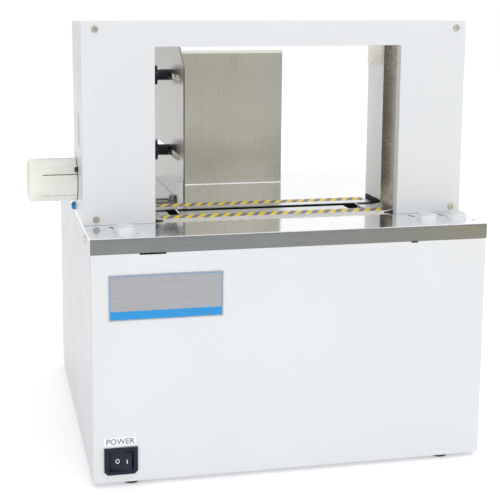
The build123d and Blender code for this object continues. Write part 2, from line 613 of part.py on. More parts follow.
def slider(slider_x, top):
    """Vertical slider with a follower roller held in its forked foot."""
    slab((slider_x - SLIDER_W / 2, slider_x + SLIDER_W / 2), SLIDER_Y, (158, top))
    rod_x((slider_x - 4, slider_x + 4), SHAFT_Y, 155.5, 6)


with BuildPart() as left_gripper:
    slider(SLIDER_X[0], 211)
    for tooth_y in range(5):
        slab((159, 173), (84.5 + 4 * tooth_y, 86.5 + 4 * tooth_y), (211, 212))
with BuildPart() as cutter_press:
    slider(SLIDER_X[1], 210)
    slab((183, 184), SLIDER_Y, (210, 212.5))
with BuildPart() as right_gripper:
    slider(SLIDER_X[2], 211)
    for tooth_y in range(5):
        slab((203, 217), (84.5 + 4 * tooth_y, 86.5 + 4 * tooth_y), (211, 212))

with BuildPart() as cam_shaft:
    rod_x((136, 232), SHAFT_Y, SHAFT_Z, SHAFT_R)
    chamfer(cam_shaft.faces().sort_by(Axis.X)[-1].edges(), 0.8)

with BuildPart() as cams:
    for cam_x, turn in zip(SLIDER_X, (200, 90, 320)):
        with BuildSketch(lateral(cam_x - 4)) as cam_profile:
            with Locations((SHAFT_Y, SHAFT_Z)):
                Circle(13)
                with PolarLocations(12, 1, start_angle=turn):
                    Circle(6)
            make_hull()
        extrude(cam_profile.sketch, amount=8)
        rod_x((cam_x - 4, cam_x + 4), SHAFT_Y, SHAFT_Z, SHAFT_R, mode=Mode.SUBTRACT)

# Spur gears, module 1, with straight-flanked teeth
CAM_TEETH = 60
PINION_TEETH = 20
TOOTH = ((-0.98, -1.4), (0.98, -1.4), (0.34, 0.95), (-0.34, 0.95))


def spur_gear(teeth, center_z, first_tooth, x, bore):
    """Spur gear of module 1 about an axis along X, drilled for its shaft."""
    with BuildSketch(lateral(x[0])) as blank:
        with Locations((SHAFT_Y, center_z)):
            Circle(teeth / 2 - 1.25)
            with PolarLocations(teeth / 2, teeth, start_angle=first_tooth):
                with Locations(Location((0, 0), -90)):
                    Polygon(*TOOTH, align=None)
            Circle(bore, mode=Mode.SUBTRACT)
    extrude(blank.sketch, amount=x[1] - x[0])


GEAR_X = (140.0, 146.0)
with BuildPart() as cam_gear:
    spur_gear(CAM_TEETH, SHAFT_Z, 0, GEAR_X, SHAFT_R)
with BuildPart() as motor_pinion:
    spur_gear(PINION_TEETH, MOTOR_Z, 9, GEAR_X, 0.5)
    rod_x((GEAR_X[0], 160), SHAFT_Y, MOTOR_Z, MOTOR_SHAFT_R)

with BuildPart() as gearmotor:
    slab((153, 178), (SHAFT_Y - 18, SHAFT_Y + 18), (MOTOR_Z - 18, MOTOR_Z + 18))
    rod_x((178, 219), SHAFT_Y, MOTOR_Z, 15.5)
    rod_x((219, 222), SHAFT_Y, MOTOR_Z, 5)
    rod_x((153, 161), SHAFT_Y, MOTOR_Z, MOTOR_SHAFT_R + FIT, mode=Mode.SUBTRACT)

# Heated blade that swings in under the anvil, parked in front of the sliders
with BuildPart() as heater_arm:
    slab((196, HEATER_X), (HEATER_Y - 4, HEATER_Y + 4), HEATER_Z)
    slab((172, 198), (HEATER_Y - 8, HEATER_Y + 8), HEATER_Z)
    rod_z(HEATER_X, HEATER_Y, HEATER_Z, 7)
    rod_z(HEATER_X, HEATER_Y, HEATER_Z, 3 + FIT, mode=Mode.SUBTRACT)

# Anvil between the tape and the product; it slides back to free the band
with BuildPart() as anvil_slide:
    slab(HEAD_X, (WELL_Y[0] + 0.2, GAP_Y[0] - 0.2), (220.5, GUIDE_Z))
    chamfer(anvil_slide.edges().filter_by(Axis.X).group_by(Axis.Z)[-1], 0.5)

# Tape feed under the left leg: roller pair, motor and dancer arm on one bracket
FEED_X = 78.0
FEED_Z = 185.0
FEED_R = 14.0
PINCH_R = 8.0
PINCH_X = FEED_X - FEED_R - PINCH_R - 0.4
DANCER_X = 60.0
DANCER_Z = 120.0
PIN_R = 3.0
BRACKET_Y = (108.0, 110.5)
with BuildPart() as feed_bracket:
    slab((38, 104), BRACKET_Y, (90, 206))
    slab((38, 80), BRACKET_Y, (206, UNDER))
    slab((38, 80), (BRACKET_Y[1], BRACKET_Y[1] + 16), (UNDER - STEEL, UNDER))
    rod_y(FEED_X, BRACKET_Y, FEED_Z, PIN_R + 2, mode=Mode.SUBTRACT)
    rod_y(PINCH_X, (72, BRACKET_Y[0]), FEED_Z, PIN_R)
    rod_y(DANCER_X, (80, BRACKET_Y[0]), DANCER_Z, PIN_R)
    slab((38, 104), (BRACKET_Y[1], BRACKET_Y[1] + 2), (90, 92))

with BuildPart() as feed_roller:
    rod_y(FEED_X, (73, 103), FEED_Z, FEED_R)
    rod_y(FEED_X, (70, 120), FEED_Z, PIN_R)

with BuildPart() as pinch_roller:
    rod_y(PINCH_X, (73, 103), FEED_Z, PINCH_R)
    rod_y(PINCH_X, (73, 103), FEED_Z, PIN_R + FIT, mode=Mode.SUBTRACT)

with BuildPart() as feed_motor:
    slab((FEED_X - 21, FEED_X + 21), (BRACKET_Y[1], BRACKET_Y[1] + 38), (FEED_Z - 21, FEED_Z + 21))
    rod_y(FEED_X, (BRACKET_Y[1] - 1, BRACKET_Y[1] + 11), FEED_Z, PIN_R + FIT, mode=Mode.SUBTRACT)
    chamfer(feed_motor.edges().filter_by(Axis.Y).group_by(SortBy.LENGTH)[-1], 4)

with BuildPart() as dancer_arm:
    slab((DANCER_X, DANCER_X + 50), (100, 106), (DANCER_Z - 4, DANCER_Z + 4))
    rod_y(DANCER_X, (100, 106), DANCER_Z, 7)
    rod_y(DANCER_X + 50, (72, 106), DANCER_Z, PIN_R)
    rod_y(DANCER_X, (100, 106), DANCER_Z, PIN_R + FIT, mode=Mode.SUBTRACT)

with BuildPart() as dancer_roller:
    rod_y(DANCER_X + 50, (74, 99), DANCER_Z, 8)
    rod_y(DANCER_X + 50, (74, 99), DANCER_Z, PIN_R + FIT, mode=Mode.SUBTRACT)

# Cooling fan inside the rear panel
FAN_Y = (PANEL_Y - 16.0, PANEL_Y)
with BuildPart() as fan_frame:
    slab((FAN_X - 30, FAN_X + 30), FAN_Y, (FAN_Z - 30, FAN_Z + 30))
    rod_y(FAN_X, (FAN_Y[0], FAN_Y[1]), FAN_Z, 28, mode=Mode.SUBTRACT)
    slab((FAN_X - 28.5, FAN_X + 28.5), (FAN_Y[0], FAN_Y[0] + 1.5), (FAN_Z - 2.5, FAN_Z + 2.5))
    slab((FAN_X - 2.5, FAN_X + 2.5), (FAN_Y[0], FAN_Y[0] + 1.5), (FAN_Z - 28.5, FAN_Z + 28.5))
    rod_y(FAN_X, (FAN_Y[0], FAN_Y[0] + 1.5), FAN_Z, 11)
    rod_y(FAN_X, (FAN_Y[0] + 1.5, FAN_Y[0] + 9), FAN_Z, 1.5)

with BuildPart() as fan_rotor:
    rotor_y = (FAN_Y[0] + 2, FAN_Y[1] - 1)
    rod_y(FAN_X, rotor_y, FAN_Z, 11)
    with BuildSketch(frontal(rotor_y[1])) as fan_blades:
        with Locations((FAN_X, FAN_Z)):
            with PolarLocations(18.5, 7):
                Rectangle(17, 1.6)
    extrude(fan_blades.sketch, amount=rotor_y[1] - rotor_y[0])
    rod_y(FAN_X, (FAN_Y[0], FAN_Y[0] + 10), FAN_Z, 1.5 + FIT, mode=Mode.SUBTRACT)

# Electrics: control board, power supply, mains inlet and foot-switch socket
with BuildPart() as circuit_board:
    slab((250, 352), (180, 181.6), (30, 120))
    slab((262, 290), (172, 180), (88, 108))
    slab((310, 340), (168, 180), (44, 62))
    slab((262, 278), (176, 180), (50, 66))
    for post_x in (256, 346):
        for post_z in (36, 114):
            rod_y(post_x, (181.6, 189), post_z, 3)
    slab((250, 352), (189, 191), (STEEL, 120))

with BuildPart() as power_supply:
    slab((250, 350), (205, 300), (STEEL, 46))
    chamfer(power_supply.faces().sort_by(Axis.Z)[-1].edges(), 1)
    for fin in range(9):
        slab((258 + 10 * fin, 260 + 10 * fin), (215, 290), (46, 54))

with BuildPart() as power_inlet:
    slab((INLET_X - 13.5, INLET_X + 13.5), (PANEL_Y - 18, CASE_D), (SOCKET_Z - 9.7, SOCKET_Z + 9.7))
    slab((INLET_X - 24, INLET_X + 24), (CASE_D, CASE_D + 2.5), (SOCKET_Z - 12, SOCKET_Z + 12))
    slab((INLET_X - 12, INLET_X + 12), (CASE_D, CASE_D + REAR_PROUD), (SOCKET_Z - 8.5, SOCKET_Z + 8.5))
    socket_y = (CASE_D - 14, CASE_D + 5)
    slab((INLET_X - 10.5, INLET_X + 10.5), socket_y, (SOCKET_Z - 7, SOCKET_Z + 7), mode=Mode.SUBTRACT)
    for pin_x, pin_z in ((-7, -2), (0, 2), (7, -2)):
        slab(
            (INLET_X + pin_x - 1, INLET_X + pin_x + 1),
            (CASE_D - 14, CASE_D - 2),
            (SOCKET_Z + pin_z - 2, SOCKET_Z + pin_z + 2),
        )

with BuildPart() as foot_switch_socket:
    rod_y(JACK_X, (PANEL_Y - 14, CASE_D), SOCKET_Z, 6)
    rod_y(JACK_X, (CASE_D, CASE_D + REAR_PROUD - 1), SOCKET_Z, 8.5)
    rod_y(JACK_X, (CASE_D - 10, CASE_D + REAR_PROUD), SOCKET_Z, 3.25, mode=Mode.SUBTRACT)

pieces = {
    "base_casing": base_casing,
    "base_plate": base_plate,
    "rubber_feet": rubber_feet,
    "rear_panel": rear_panel,
    "table_top": table_top,
    "casing_screws": casing_screws,
    "arch_front_cover": arch_front_cover,
    "arch_shell": arch_shell,
    "arch_frame": arch_frame,
    "arch_cover_screws": arch_cover_screws,
    "tape_track": tape_track,
    "corner_guides": corner_guides,
    "front_guide_plate": front_guide_plate,
    "rear_guide_plate": rear_guide_plate,
    "hazard_strips": hazard_strips,
    "tape_gap_tray": tape_gap_tray,
    "leg_end_blocks": leg_end_blocks,
    "tape_fingers": tape_fingers,
    "track_corner_plate": track_corner_plate,
    "side_cap": side_cap,
    "name_plate": name_plate,
    "switch_bezel": switch_bezel,
    "switch_rocker": switch_rocker,
    "button_rings": button_rings,
    "start_button": start_button,
    "feed_button": feed_button,
    "reset_button": reset_button,
    "reel_spindle": reel_spindle,
    "reel_hub": reel_hub,
    "side_fence": side_fence,
    "fence_clamp_screw": fence_clamp_screw,
    "back_stop": back_stop,
    "upper_clamp_knob": upper_clamp_knob,
    "lower_clamp_knob": lower_clamp_knob,
    "mechanism_plates": mechanism_plates,
    "frame_spacers": frame_spacers,
    "shaft_bushes": shaft_bushes,
    "slider_guide": slider_guide,
    "left_gripper": left_gripper,
    "cutter_press": cutter_press,
    "right_gripper": right_gripper,
    "cam_shaft": cam_shaft,
    "cams": cams,
    "cam_gear": cam_gear,
    "motor_pinion": motor_pinion,
    "gearmotor": gearmotor,
    "heater_arm": heater_arm,
    "anvil_slide": anvil_slide,
    "feed_bracket": feed_bracket,
    "feed_roller": feed_roller,
    "pinch_roller": pinch_roller,
    "feed_motor": feed_motor,
    "dancer_arm": dancer_arm,
    "dancer_roller": dancer_roller,
    "fan_frame": fan_frame,
    "fan_rotor": fan_rotor,
    "circuit_board": circuit_board,
    "power_supply": power_supply,
    "power_inlet": power_inlet,
    "foot_switch_socket": foot_switch_socket,
}

os.makedirs("parts", exist_ok=True)
for name, piece in pieces.items():
    piece.part.label = name
    export_step(piece.part, f"parts/{name}.step")
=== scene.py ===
# Studio scene of a tabletop arch banding machine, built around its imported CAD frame.

import json
import math

import bmesh
import bpy
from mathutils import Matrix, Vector


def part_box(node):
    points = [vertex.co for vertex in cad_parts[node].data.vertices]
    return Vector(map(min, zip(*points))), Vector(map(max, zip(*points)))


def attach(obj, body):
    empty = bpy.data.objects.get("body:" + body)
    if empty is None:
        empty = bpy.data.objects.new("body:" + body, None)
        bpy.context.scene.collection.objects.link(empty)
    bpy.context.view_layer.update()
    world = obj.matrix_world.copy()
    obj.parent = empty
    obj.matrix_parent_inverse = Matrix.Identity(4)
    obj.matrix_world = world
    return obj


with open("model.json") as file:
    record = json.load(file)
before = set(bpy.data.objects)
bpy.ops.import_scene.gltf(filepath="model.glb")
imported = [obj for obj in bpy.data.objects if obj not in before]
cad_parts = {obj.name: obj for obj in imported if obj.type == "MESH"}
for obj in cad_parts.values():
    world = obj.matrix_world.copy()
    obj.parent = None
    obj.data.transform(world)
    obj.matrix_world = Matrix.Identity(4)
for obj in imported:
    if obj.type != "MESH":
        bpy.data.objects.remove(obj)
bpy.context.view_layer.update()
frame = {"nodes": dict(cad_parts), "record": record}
scene = bpy.context.scene
MM = 0.001


# ---------------------------------------------------------------- materials

class Surface:
    """A Principled material, with helpers that drive its sockets from procedural nodes."""

    def __init__(self, name, roughness=0.5, metallic=0.0, **sockets):
        self.material = bpy.data.materials.new(name)
        self.material.use_nodes = True
        self.tree = self.material.node_tree
        self.bsdf = self.tree.nodes["Principled BSDF"]
        self.bsdf.inputs["Roughness"].default_value = roughness
        self.bsdf.inputs["Metallic"].default_value = metallic
        for socket, value in sockets.items():
            self.bsdf.inputs[socket.replace("_", " ")].default_value = value
        self.place = self.node("ShaderNodeTexCoord").outputs["Object"]
        self.last_normal = None

    def node(self, kind, **settings):
        made = self.tree.nodes.new(kind)
        for key, value in settings.items():
            setattr(made, key, value)
        return made

    def link(self, source, target):
        self.tree.links.new(source, target)

    def scaled(self, stretch):
        mapping = self.node("ShaderNodeMapping")
        mapping.inputs["Scale"].default_value = stretch
        self.link(self.place, mapping.inputs["Vector"])
        return mapping.outputs["Vector"]

    def noise(self, size, detail=3.0, stretch=(1, 1, 1), distortion=0.0):
        """Noise whose grains are about size metres across."""
        made = self.node("ShaderNodeTexNoise")
        made.inputs["Scale"].default_value = 1 / size
        made.inputs["Detail"].default_value = detail
        made.inputs["Distortion"].default_value = distortion
        self.link(self.scaled(stretch), made.inputs["Vector"])
        return made.outputs["Fac"]

    def ramp(self, factor, stops):
        """Colour ramp with (position, colour) stops."""
        made = self.node("ShaderNodeValToRGB")
        elements = made.color_ramp.elements
        while len(elements) < len(stops):
            elements.new(0.5)
        for element, (position, color) in zip(elements, stops):
            element.position = position
            element.color = (*color, 1)
        self.link(factor, made.inputs["Fac"])
        return made.outputs["Color"]

    def remap(self, factor, low, high, start=0.3, end=0.7):
        made = self.node("ShaderNodeMapRange")
        made.inputs["From Min"].default_value = start
        made.inputs["From Max"].default_value = end
        made.inputs["To Min"].default_value = low
        made.inputs["To Max"].default_value = high
        self.link(factor, made.inputs["Value"])
        return made.outputs["Result"]

    def mix(self, factor, first, second):
        made = self.node("ShaderNodeMix", data_type="RGBA")
        self.link(factor, made.inputs[0])
        for value, socket in ((first, made.inputs[6]), (second, made.inputs[7])):
            if isinstance(value, tuple):
                socket.default_value = (*value, 1)
            else:
                self.link(value, socket)
        return made.outputs[2]

    def math(self, operation, first, second=None):
        made = self.node("ShaderNodeMath", operation=operation)
        for value, socket in ((first, made.inputs[0]), (second, made.inputs[1])):
            if value is None:
                continue
            if isinstance(value, (int, float)):
                socket.default_value = value
            else:
                self.link(value, socket)
        return made.outputs[0]

    def axis(self, index):
        """One coordinate of the point, in metres."""
        made = self.node("ShaderNodeSeparateXYZ")
        self.link(self.place, made.inputs[0])
        return made.outputs[index]

    def facing(self, index):
        """One component of the surface normal."""
        made = self.node("ShaderNodeSeparateXYZ")
        self.link(self.node("ShaderNodeNewGeometry").outputs["Normal"], made.inputs[0])
        return made.outputs[index]

    def color(self, source):
        self.link(source, self.bsdf.inputs["Base Color"])

    def roughness(self, source):
        self.link(source, self.bsdf.inputs["Roughness"])

    def bump(self, height, strength, depth):
        made = self.node("ShaderNodeBump")
        made.inputs["Strength"].default_value = strength
        made.inputs["Distance"].default_value = depth
        self.link(height, made.inputs["Height"])
        if self.last_normal is not None:
            self.link(self.last_normal, made.inputs["Normal"])
        self.last_normal = made.outputs["Normal"]
        self.link(self.last_normal, self.bsdf.inputs["Normal"])

    def edge_wear_and_highlight(self, base, edge_color, start=0.53, end=0.62):
        """Mix towards the edge colour where the surface turns sharply outwards: wear where that colour is
        darker, wear and a painted highlight where it is lighter.
        """
        pointiness = self.node("ShaderNodeNewGeometry").outputs["Pointiness"]
        return self.mix(self.remap(pointiness, 0, 1, start, end), base, edge_color)


def shade(color, factor):
    return tuple(channel * factor for channel in color)


def inside(s, index, low, high):
    """1 between two positions along an axis, 0 outside."""
    above = s.math("GREATER_THAN", s.axis(index), low)
    below = s.math("LESS_THAN", s.axis(index), high)
    return s.math("MULTIPLY", above, below)


def powder_coat(name, color, roughness=0.34):
    """Powder-coated sheet: fine orange peel, faint clouding, slightly darker edges."""
    s = Surface(name, roughness, Coat_Weight=0.15, Coat_Roughness=0.12)
    cloud = s.noise(0.09, 3, distortion=0.4)
    base = s.ramp(cloud, [(0.3, shade(color, 0.975)), (0.7, color)])
    s.color(s.edge_wear_and_highlight(base, shade(color, 0.93)))
    s.roughness(s.remap(s.noise(0.03, 5), roughness - 0.05, roughness + 0.07))
    s.bump(s.noise(0.0011, 2), 0.10, 0.00006)
    s.bump(s.noise(0.16, 1), 0.05, 0.001)
    return s.material


def arch_paint():
    """Casing paint on the arch shell, painted lighter from the arch's middle to the right leg's inner
    wall: painted light standing in for light on that shaded inner wall.
    """
    s = Surface("arch_paint", 0.34, Coat_Weight=0.15, Coat_Roughness=0.12)
    track_edge = 11.5 * MM
    # Painted light: the shell's colour is raised over this span so the right leg's inner wall looks lit.
    painted_light_span = inside(s, 0, 0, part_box("tape_track")[1].x - track_edge)
    cloud = s.noise(0.09, 3, distortion=0.4)
    base = s.ramp(cloud, [(0.3, shade(WHITE, 0.975)), (0.7, WHITE)])
    s.color(s.edge_wear_and_highlight(s.mix(painted_light_span, base, shade(WHITE, 1.36)), shade(WHITE, 0.93)))
    s.roughness(s.remap(s.noise(0.03, 5), 0.29, 0.41))
    s.bump(s.noise(0.0011, 2), 0.10, 0.00006)
    return s.material


def brushed(name, color, roughness, grain=(1, 60, 60), depth=0.00002, spread=0.1):
    """Brushed metal: long fine grain along one axis, faint smudges, and lighter edges that are partly wear
    and partly a painted highlight.
    """
    s = Surface(name, roughness, 1.0)
    line = s.noise(0.045, 6, grain)
    smudge = s.noise(0.05, 4, distortion=0.8)
    tone = s.mix(s.remap(line, 0, 1, 0.25, 0.75), shade(color, 0.96 - spread), shade(color, 0.96 + spread))
    # Lighter edges: partly wear, partly a painted highlight.
    s.color(s.edge_wear_and_highlight(tone, shade(color, 1.12)))
    wide = s.math("ADD", s.remap(line, -0.05, 0.05), s.remap(smudge, roughness - 0.03, roughness + 0.06))
    s.roughness(wide)
    s.bump(line, 0.25, depth)
    return s.material


def moulded(name, color, roughness=0.45, grain=0.0006, depth=0.00005, **sockets):
    """Moulded plastic or rubber: fine spark-eroded grain, slight sheen change, paler edges that are partly
    wear and partly a painted highlight.
    """
    s = Surface(name, roughness, **sockets)
    cloud = s.noise(0.012, 4)
    base = s.ramp(cloud, [(0.3, shade(color, 0.88)), (0.7, shade(color, 1.06))])
    # Paler edges: partly wear, partly a painted highlight.
    paler_edge_wear_and_highlight = tuple(min(1.0, channel * 1.25 + 0.015) for channel in color)
    s.color(s.edge_wear_and_highlight(base, paler_edge_wear_and_highlight))
    s.roughness(s.remap(cloud, roughness - 0.06, roughness + 0.08))
    s.bump(s.noise(grain, 2), 0.35, depth)
    return s.material


def zinc(name, color=(0.55, 0.56, 0.57), roughness=0.3):
    """Zinc-plated steel: mottled crystal tone."""
    s = Surface(name, roughness, 1.0)
    spangle = s.noise(0.004, 4)
    s.color(s.ramp(spangle, [(0.3, shade(color, 0.8)), (0.7, shade(color, 1.15))]))
    s.roughness(s.remap(spangle, roughness - 0.06, roughness + 0.12))
    s.bump(s.noise(0.0008, 3), 0.2, 0.00003)
    return s.material


WHITE = (0.70, 0.715, 0.73)
paint = powder_coat("white_paint", WHITE)
machine_white = powder_coat("rear_paint", WHITE, 0.4)
guide_steel = brushed("guide_steel", (0.66, 0.66, 0.67), 0.26)
stop_steel = brushed("stop_steel", (0.54, 0.53, 0.475), 0.3, (60, 60, 1), 0.0000008, 0.03)
track_steel = brushed("track_steel", (0.66, 0.63, 0.58), 0.22, (60, 1, 60), 0.000006, 0.05)
bright_zinc = zinc("bright_zinc")
screw_zinc = zinc("screw_zinc", (0.58, 0.57, 0.52), 0.34)
black_plastic = moulded("black_plastic", (0.014, 0.016, 0.022), 0.36, Specular_IOR_Level=0.35)
bezel_plastic = moulded("bezel_plastic", (0.010, 0.017, 0.030), 0.4, Specular_IOR_Level=0.2)
rocker_plastic = moulded("rocker_plastic", (0.006, 0.011, 0.021), 0.5, Specular_IOR_Level=0.1)
# Painted shade: near-black, almost unreflective finish on the tape gap tray and leg end blocks, standing
# in for the dark inside of the machine seen through the gaps.
gap_shade_black = moulded("gap_shade_black", (0.003, 0.003, 0.004), 0.5, 0.001, Specular_IOR_Level=0.12)
milky = moulded("milky_plastic", (0.72, 0.715, 0.715), 0.18, 0.002, 0.00001, Subsurface_Weight=0.15)
mark_ink = moulded("mark_ink", (0.03, 0.06, 0.08), 0.5)
print_grey = moulded("print_grey", (0.13, 0.14, 0.155), 0.5)
rocker_ink = moulded("rocker_ink", (0.62, 0.68, 0.74), 0.5)
sticker_film = moulded("sticker_film", (0.665, 0.678, 0.69), 0.3, 0.002, 0.00001)
blue_plastic = moulded("blue_plastic", (0.01, 0.20, 0.46), 0.12, 0.001, 0.00001)
rubber = moulded("foot_rubber", (0.02, 0.02, 0.021), 0.75, 0.0008, 0.0001)
polyurethane = moulded("roller_polyurethane", (0.32, 0.08, 0.03), 0.5)
acetal = moulded("acetal", (0.72, 0.70, 0.62), 0.35)
laminate = moulded("board_laminate", (0.02, 0.14, 0.05), 0.35, 0.0012)
motor_coat = moulded("motor_coat", (0.06, 0.065, 0.075), 0.45)
bronze = brushed("bronze", (0.55, 0.36, 0.15), 0.32, (60, 1, 60))
cast = brushed("aluminium", (0.62, 0.63, 0.64), 0.34, (1, 1, 40))


def table_steel():
    """Near-mirror table with brushed front flange and fine scratches; front-facing faces get a far darker
    steel colour than the top, a painted shade for the flange's dimmer reflection.
    """
    s = Surface("table_steel", 0.12, 1.0)
    front = s.remap(s.facing(1), 1, 0, -0.8, -0.5)
    line = s.noise(0.05, 6, (1, 70, 70))
    scratch = s.noise(0.03, 2, (1, 26, 1), 0.3)
    smudge = s.noise(0.045, 4, distortion=1.0)
    top = s.ramp(smudge, [(0.3, (0.90, 0.91, 0.93)), (0.7, (0.95, 0.96, 0.98))])
    # Painted shade: the front-facing flange gets a much darker steel colour than the top.
    flange = s.ramp(line, [(0.3, (0.20, 0.213, 0.215)), (0.7, (0.245, 0.258, 0.26))])
    s.color(s.mix(front, top, flange))
    polished = s.math("ADD", s.remap(smudge, 0.07, 0.15), s.remap(scratch, 0.0, 0.03, 0.6, 0.75))
    s.roughness(s.math("ADD", polished, s.math("MULTIPLY", front, 0.2)))
    s.bump(s.math("MULTIPLY", line, front), 0.2, 0.00003)
    s.bump(s.noise(0.2, 1), 0.04, 0.001)
    return s.material


def turned_cream():
    """Cream plastic with faint turning rings along the hub."""
    s = Surface("cream_plastic", 0.3, Subsurface_Weight=0.1)
    ring = s.noise(0.02, 3, (22, 0.3, 0.3))
    stain = s.noise(0.02, 4, distortion=0.6)
    s.color(s.ramp(stain, [(0.3, (0.80, 0.755, 0.675)), (0.7, (0.88, 0.84, 0.765))]))
    s.roughness(s.remap(ring, 0.24, 0.4))
    s.bump(ring, 0.12, 0.00003)
    return s.material


def fence_sheet():
    """Brushed fence sheet with dark cut edges, and the white end tab at its front."""
    low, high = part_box("side_fence")
    sheet, tab_reach, tab_depth = 1.6 * MM, 7.2 * MM, 8.0 * MM
    s = Surface("fence_sheet", 0.24)
    line = s.noise(0.045, 6, (60, 60, 1))
    steel = s.mix(s.remap(line, 0, 1, 0.25, 0.75), (0.275, 0.268, 0.235), (0.31, 0.304, 0.275))
    normal = s.node("ShaderNodeSeparateXYZ")
    s.link(s.node("ShaderNodeNewGeometry").outputs["True Normal"], normal.inputs[0])
    not_sideways = s.math("LESS_THAN", s.math("ABSOLUTE", normal.outputs[0]), 0.5)
    foot_height = 6.0 * MM
    edge = s.math("MULTIPLY", not_sideways, inside(s, 2, low.z + foot_height, high.z + foot_height))
    tab = s.math(
        "MULTIPLY",
        inside(s, 0, high.x - tab_reach, high.x - sheet),
        inside(s, 1, low.y, low.y + tab_depth),
    )
    s.color(s.mix(tab, s.mix(edge, steel, (0.16, 0.155, 0.14)), (0.78, 0.79, 0.79)))
    s.link(s.math("SUBTRACT", 1, tab), s.bsdf.inputs["Metallic"])
    s.roughness(s.remap(line, 0.2, 0.32))
    s.bump(line, 0.2, 0.000006)
    return s.material


def printed_plate():
    """Silver name plate with a thin blue frame and a blue band along its bottom."""
    low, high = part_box("name_plate")
    frame_w, margin, band = 0.5 * MM, 1.0 * MM, 8.6 * MM
    s = Surface("printed_plate", 0.32, 0.35)
    grain = s.noise(0.03, 4, (1, 1, 40))
    silver = s.ramp(grain, [(0.3, (0.33, 0.338, 0.352)), (0.7, (0.385, 0.393, 0.41))])
    blue = (0.02, 0.27, 0.62)
    outer = s.math(
        "MULTIPLY",
        inside(s, 0, low.x + margin, high.x - margin),
        inside(s, 2, low.z + margin, high.z - margin),
    )
    inner = s.math(
        "MULTIPLY",
        inside(s, 0, low.x + margin + frame_w, high.x - margin - frame_w),
        inside(s, 2, low.z + band, high.z - margin - frame_w),
    )
    line = s.math("SUBTRACT", outer, inner)
    s.color(s.mix(line, silver, blue))
    s.roughness(s.remap(grain, 0.28, 0.4))
    s.bump(grain, 0.1, 0.00002)
    return s.material


def hazard_film():
    """Yellow film with dark diagonal stripes, a little scuffed."""
    stripe_pitch = 12.0 * MM
    s = Surface("hazard_film", 0.5, Specular_IOR_Level=0.2)
    slanted = s.math("SUBTRACT", s.axis(0), s.math("MULTIPLY", s.axis(1), 0.55))
    wave = s.math("FRACT", s.math("DIVIDE", s.math("ADD", slanted, 1.0), stripe_pitch))
    dark = s.math("LESS_THAN", wave, 0.5)
    scuff = s.noise(0.006, 5)
    yellow = s.ramp(scuff, [(0.3, (0.92, 0.60, 0.005)), (0.75, (1.0, 0.74, 0.02))])
    grey = s.ramp(scuff, [(0.3, (0.12, 0.13, 0.18)), (0.75, (0.22, 0.23, 0.29))])
    s.color(s.mix(dark, yellow, grey))
    s.roughness(s.remap(scuff, 0.3, 0.5))
    s.bump(scuff, 0.1, 0.00003)
    return s.material


NODE_FINISH = {
    paint: ("base_casing", "arch_front_cover"),
    arch_paint(): ("arch_shell",),
    machine_white: ("rear_panel",),
    table_steel(): ("table_top",),
    guide_steel: ("front_guide_plate", "rear_guide_plate", "anvil_slide"),
    fence_sheet(): ("side_fence",),
    stop_steel: ("back_stop",),
    track_steel: ("tape_track", "track_corner_plate"),
    bright_zinc: (
        "base_plate", "arch_frame", "reel_spindle", "fence_clamp_screw",
        "frame_spacers", "left_gripper", "cutter_press", "right_gripper",
        "cam_shaft", "cams", "feed_bracket",
    ),
    screw_zinc: ("casing_screws", "arch_cover_screws"),
    black_plastic: (
        "corner_guides", "upper_clamp_knob", "lower_clamp_knob", "fan_frame",
        "fan_rotor", "power_inlet", "foot_switch_socket",
    ),
    bezel_plastic: ("switch_bezel",),
    rocker_plastic: ("switch_rocker",),
    gap_shade_black: ("tape_gap_tray", "leg_end_blocks"),
    milky: ("tape_fingers", "button_rings", "start_button", "feed_button", "reset_button"),
    turned_cream(): ("reel_hub",),
    blue_plastic: ("side_cap",),
    rubber: ("rubber_feet",),
    printed_plate(): ("name_plate",),
    hazard_film(): ("hazard_strips",),
    bronze: ("shaft_bushes", "motor_pinion"),
    acetal: ("cam_gear", "dancer_roller"),
    polyurethane: ("feed_roller", "pinch_roller"),
    motor_coat: ("gearmotor", "feed_motor"),
    laminate: ("circuit_board",),
    cast: ("mechanism_plates", "slider_guide", "heater_arm", "dancer_arm", "power_supply"),
}
for material, names in NODE_FINISH.items():
    for name in names:
        mesh = frame["nodes"][name].data
        mesh.materials.clear()
        mesh.materials.append(material)


# ---------------------------------------------------------------- printed marks and trim

def make_piece(name, shape, material, body="machine"):
    """Turn a bmesh into a piece that rides on a body."""
    mesh = bpy.data.meshes.new(name)
    shape.to_mesh(mesh)
    shape.free()
    piece = bpy.data.objects.new(name, mesh)
    scene.collection.objects.link(piece)
    mesh.materials.append(material)
    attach(piece, body)


def outline_slab(points, depth, to_world):
    """Flat outline of (u, v) points, depth thick, placed by a function of (u, v, w)."""
    shape = bmesh.new()
    back = [shape.verts.new(to_world(u, v, 0)) for u, v in points]
    front = [shape.verts.new(to_world(u, v, depth)) for u, v in points]
    shape.faces.new(list(reversed(back)))
    shape.faces.new(front)
    for k in range(len(points)):
        nxt = (k + 1) % len(points)
        shape.faces.new((back[k], back[nxt], front[nxt], front[k]))
    bmesh.ops.recalc_face_normals(shape, faces=shape.faces)
    return shape


def rounded_rectangle(width, height, radius, steps=5):
    """Outline of a rectangle about the origin with round corners."""
    points = []
    for k, (sx, sy) in enumerate(((1, 1), (-1, 1), (-1, -1), (1, -1))):
        for step in range(steps + 1):
            turn = math.pi / 2 * (k + step / steps)
            points.append((
                sx * (width / 2 - radius) + radius * math.cos(turn),
                sy * (height / 2 - radius) + radius * math.sin(turn),
            ))
    return points


